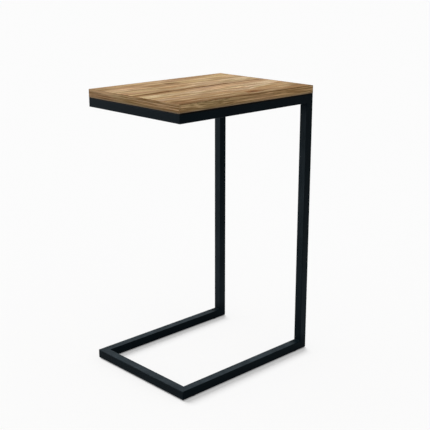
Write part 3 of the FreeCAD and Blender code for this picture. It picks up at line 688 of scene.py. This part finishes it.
# Each weld node's beads: the middle of the corner in mm, and the two ways out of the corner
WELDS = {
    "base_front": (((-180, -130, 12), "+X", "+Y"), ((-180, 130, 12), "+X", "-Y")),
    "upper_front": (((-180, -130, 611), "+X", "+Y"), ((-180, 130, 611), "+X", "-Y")),
    "post_foot": (((180, -140, 22), "-X", "+Z"), ((180, 140, 22), "-X", "+Z")),
    "post_head": (((180, -140, 601), "-X", "-Z"), ((180, 140, 601), "-X", "-Z")),
    "upper_rear": (((180, -130, 611), "-X", "+Y"), ((180, 130, 611), "-X", "-Y"),
                   ((190, -130, 601), "+Y", "-Z"), ((190, 130, 601), "-Y", "-Z")),
}


def model_weld_bead():
    """One fillet bead along Z in the corner of +X and +Y: a rod drawn out ripple by ripple."""
    bpy.ops.object.select_all(action="DESELECT")
    bpy.ops.mesh.primitive_circle_add(vertices=BEAD_SIDES, radius=BEAD_RADIUS * BEAD_END,
                                      fill_type="NGON",
                                      location=(BEAD_OFFSET, BEAD_OFFSET, -BEAD_LENGTH / 2))
    bead = bpy.context.object
    bpy.ops.object.mode_set(mode="EDIT")
    bpy.ops.mesh.select_all(action="SELECT")
    steps = 2 * RIPPLES
    width = BEAD_END
    for step in range(1, steps + 1):
        wanted = RIPPLE_WAIST if step % 2 == 0 else 1.0
        if step == steps:
            wanted = BEAD_END
        bpy.ops.mesh.extrude_region_move(TRANSFORM_OT_translate={"value": (0, 0, BEAD_LENGTH / steps)})
        bpy.ops.transform.resize(value=(wanted / width, wanted / width, 1),
                                 center_override=(BEAD_OFFSET, BEAD_OFFSET, 0))
        width = wanted
    bpy.ops.mesh.select_all(action="SELECT")
    bpy.ops.mesh.normals_make_consistent(inside=False)
    bpy.ops.object.mode_set(mode="OBJECT")
    rounding = bead.modifiers.new("rounded_ripples", "SUBSURF")
    rounding.levels = 1
    rounding.render_levels = 1
    bpy.ops.object.modifier_apply(modifier=rounding.name)
    bpy.ops.object.shade_smooth()
    bpy.ops.object.transform_apply(location=True, rotation=True, scale=True)
    return bead


def way(word):
    """A unit vector from a word such as -X."""
    vector = Vector([1.0 if axis == word[1] else 0.0 for axis in "XYZ"])
    return vector if word[0] == "+" else -vector


def lay_weld_beads(bead, coat):
    """Copies the bead into every inside corner, one piece for each weld node."""
    for joint, corners in WELDS.items():
        copies = []
        for middle, first_word, second_word in corners:
            copy = bead.copy()
            copy.data = bead.data.copy()
            bpy.context.scene.collection.objects.link(copy)
            first = way(first_word)
            second = way(second_word)
            turn = Matrix((first, second, first.cross(second))).transposed().to_4x4()
            copy.matrix_world = Matrix.Translation(Vector(middle) * MM) @ turn
            copies.append(copy)
        bpy.ops.object.select_all(action="DESELECT")
        for copy in copies:
            copy.select_set(True)
        bpy.context.view_layer.objects.active = copies[0]
        bpy.ops.object.join()
        bpy.ops.object.transform_apply(location=True, rotation=True, scale=True)
        piece = copies[0]
        piece.name = joint + "_weld_beads"
        piece.data.name = piece.name
        piece.data.materials.append(coat)
        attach(piece, BODY)
        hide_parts(joint + "_welds")
    bpy.data.objects.remove(bead)


# ---------------------------------------------------------------- studio

BACKGROUND = 0.965

# Lamps: elevation, turn from +Y towards the front, and spread, in degrees. The key lamp gives
# KEY_SHARE of the light on a level face, and the world the rest.
KEY_SHARE = 0.7
KEY_ELEVATION = 49
KEY_TURN = 8
KEY_SPREAD = 40
STRIP_ELEVATION = 15
STRIP_TURN = 44
STRIP_SPREAD = 50
STRIP_ENERGY = 4.2
LAMP_DISTANCE = 3

FLOOR_SIZE = 120
FLOOR_GREY = 0.5
FLOOR_PALE = 0.95
# How much of the shadow the floor shows in the open and under the base's tubes
FLOOR_SHADE_SHARE = 0.57
SHADE_SHARE_UNDER_BASE = 0.79

CAMERA_PLACE = (-1.34605, -1.45006, 0.91892)
CAMERA_TILT = 73.8262
CAMERA_TURN = -43.6699
CAMERA_LENS = 74.857
CAMERA_SENSOR = 36
CAMERA_REACH = 200


def shown_rays(tree):
    """1 for the rays that show the background: camera, glossy and transmission rays."""
    path = add_node(tree, "ShaderNodeLightPath", output="Is Camera Ray").node.outputs
    direct = add_node(tree, "ShaderNodeMath", {0: path["Is Camera Ray"], 1: path["Is Glossy Ray"]},
                      operation="MAXIMUM")
    return add_node(tree, "ShaderNodeMath", {0: direct, 1: path["Is Transmission Ray"]},
                    operation="MAXIMUM")


def set_world():
    """A plain soft sky that gives the light that the key lamp leaves open."""
    world = bpy.data.worlds.new("studio_world")
    world.use_nodes = True
    tree = world.node_tree
    tree.nodes.clear()
    light = 1 - KEY_SHARE
    lighting = add_node(tree, "ShaderNodeBackground", {"Color": (light, light, light, 1)})
    shown = add_node(tree, "ShaderNodeBackground",
                     {"Color": (BACKGROUND, BACKGROUND, BACKGROUND, 1)})
    mixed = add_node(tree, "ShaderNodeMixShader", {"Fac": shown_rays(tree), 1: lighting, 2: shown})
    add_node(tree, "ShaderNodeOutputWorld", {"Surface": mixed})
    bpy.context.scene.world = world


def add_lamp(name, elevation, turn, spread, energy):
    """A wide soft lamp, far away, from the table's left and turned towards its front."""
    data = bpy.data.lights.new(name, "SUN")
    data.energy = energy
    data.angle = math.radians(spread)
    lamp = bpy.data.objects.new(name, data)
    level = math.cos(math.radians(elevation))
    towards = Vector((-level * math.sin(math.radians(turn)), level * math.cos(math.radians(turn)),
                      math.sin(math.radians(elevation))))
    lamp.location = towards * LAMP_DISTANCE
    lamp.rotation_euler = towards.to_track_quat("Z", "Y").to_euler()
    bpy.context.scene.collection.objects.link(lamp)
    return lamp


def under_the_base(tree):
    """1 where the floor lies under the base's tubes, a glide's height away from them."""
    place = place_in_mm(tree)
    place = add_node(tree, "ShaderNodeSeparateXYZ", {"Vector": place}, output="X").node.outputs
    along = add_node(tree, "ShaderNodeMath", {0: place["X"]}, operation="ABSOLUTE")
    aside = add_node(tree, "ShaderNodeMath", {0: place["Y"]}, operation="ABSOLUTE")
    long_enough = add_node(tree, "ShaderNodeMath", {0: along, 1: REAR_END}, operation="LESS_THAN")
    wide_enough = add_node(tree, "ShaderNodeMath", {0: aside, 1: OUTER_SIDE}, operation="LESS_THAN")
    in_front = add_node(tree, "ShaderNodeMath", {0: place["X"], 1: FRONT_END + TUBE},
                        operation="LESS_THAN")
    at_a_side = add_node(tree, "ShaderNodeMath", {0: aside, 1: OUTER_SIDE - TUBE},
                         operation="GREATER_THAN")
    tubes = add_node(tree, "ShaderNodeMath", {0: in_front, 1: at_a_side}, operation="MAXIMUM")
    reach = add_node(tree, "ShaderNodeMath", {0: long_enough, 1: wide_enough}, operation="MULTIPLY")
    return add_node(tree, "ShaderNodeMath", {0: reach, 1: tubes}, operation="MULTIPLY")


def add_floor():
    """A plain pale floor: it looks as white as the background, and keeps the table's shadow."""
    bpy.ops.object.select_all(action="DESELECT")
    bpy.ops.mesh.primitive_plane_add(size=FLOOR_SIZE, location=(0, 0, 0))
    floor = bpy.context.object
    floor.name = "studio_floor"
    material = new_material("pale_studio_floor")
    tree = material.node_tree
    lit = add_node(tree, "ShaderNodeBsdfDiffuse", {"Color": (FLOOR_GREY, FLOOR_GREY, FLOOR_GREY, 1)})
    seen = add_node(tree, "ShaderNodeBsdfDiffuse", {"Color": (FLOOR_PALE, FLOOR_PALE, FLOOR_PALE, 1)})
    glow = add_node(tree, "ShaderNodeEmission", {"Color": (1.0, 1.0, 1.0, 1)})
    shade = add_node(tree, "ShaderNodeMath",
                     {0: under_the_base(tree), 1: SHADE_SHARE_UNDER_BASE - FLOOR_SHADE_SHARE,
                      2: FLOOR_SHADE_SHARE}, operation="MULTIPLY_ADD")
    pale = add_node(tree, "ShaderNodeMixShader", {"Fac": shade, 1: glow, 2: seen})
    mixed = add_node(tree, "ShaderNodeMixShader", {"Fac": shown_rays(tree), 1: lit, 2: pale})
    add_node(tree, "ShaderNodeOutputMaterial", {"Surface": mixed})
    floor.data.materials.append(material)


def add_camera():
    """A long lens a little above the board, off the table's front right corner."""
    lens = bpy.data.cameras.new("table_camera")
    lens.sensor_fit = "HORIZONTAL"
    lens.sensor_width = CAMERA_SENSOR
    lens.lens = CAMERA_LENS
    lens.clip_end = CAMERA_REACH
    camera = bpy.data.objects.new("table_camera", lens)
    camera.location = CAMERA_PLACE
    camera.rotation_euler = (math.radians(CAMERA_TILT), 0, math.radians(CAMERA_TURN))
    bpy.context.scene.collection.objects.link(camera)
    bpy.context.scene.camera = camera


# ---------------------------------------------------------------- the table

def dress_nodes(finishes):
    """Gives every CAD node the finish of the first word that its name holds."""
    for name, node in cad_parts.items():
        finish = next(finish for word, finish in finishes if word in name)
        for material_slot in node.material_slots:
            material_slot.material = finish


bpy.context.scene.view_settings.view_transform = "Standard"
add_camera()
set_world()
add_floor()

coat = powder_coat_material()
dress_nodes((
    ("tabletop_board", oak_material("oak_decor_board", board=True, tone=1.21)),
    ("edge_band_front", oak_material("oak_decor_front_band", 90, (2776, 16, 122), tone=1.22,
                                     browning=0.50, tone_shift=0.17, shadow_line_top=622.5,
                                     wander_mm=(420, 60, 60))),
    ("edge_band_rear", oak_material("oak_decor_rear_band", 90, (700, 0, 10), tone=0.9)),
    ("edge_band_left", oak_material("oak_decor_left_band", 0, (300, 40, 0), tone=1.0)),
    # The right band's tone is raised to paint in light: its face, turned away from the lamps, would
    # otherwise render darker
    ("edge_band_right", oak_material("oak_decor_right_band", 0, (2388, 2, 89), tone=1.64, browning=0.9,
                                     shadow_line_top=623.3, wander_mm=(200, 40, 40))),
    ("screw", zinc_material()),
    ("glide", glide_material()),
    ("", coat),
))
lay_weld_beads(model_weld_bead(), coat)

# The soft key lamp throws the base's shadow on the floor; the board's own would be a faint smudge
key = add_lamp("soft_key_lamp", KEY_ELEVATION, KEY_TURN, KEY_SPREAD,
               KEY_SHARE * math.pi / math.sin(math.radians(KEY_ELEVATION)))
shading = bpy.data.collections.new("key_lamp_shading")
for name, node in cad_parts.items():
    if name.startswith("base_"):
        shading.objects.link(node)
key.light_linking.blocker_collection = shading

# A low strip lamp that only adds sheen to the faces at the front
strip = add_lamp("low_strip_lamp", STRIP_ELEVATION, STRIP_TURN, STRIP_SPREAD, STRIP_ENERGY)
strip.visible_diffuse = False
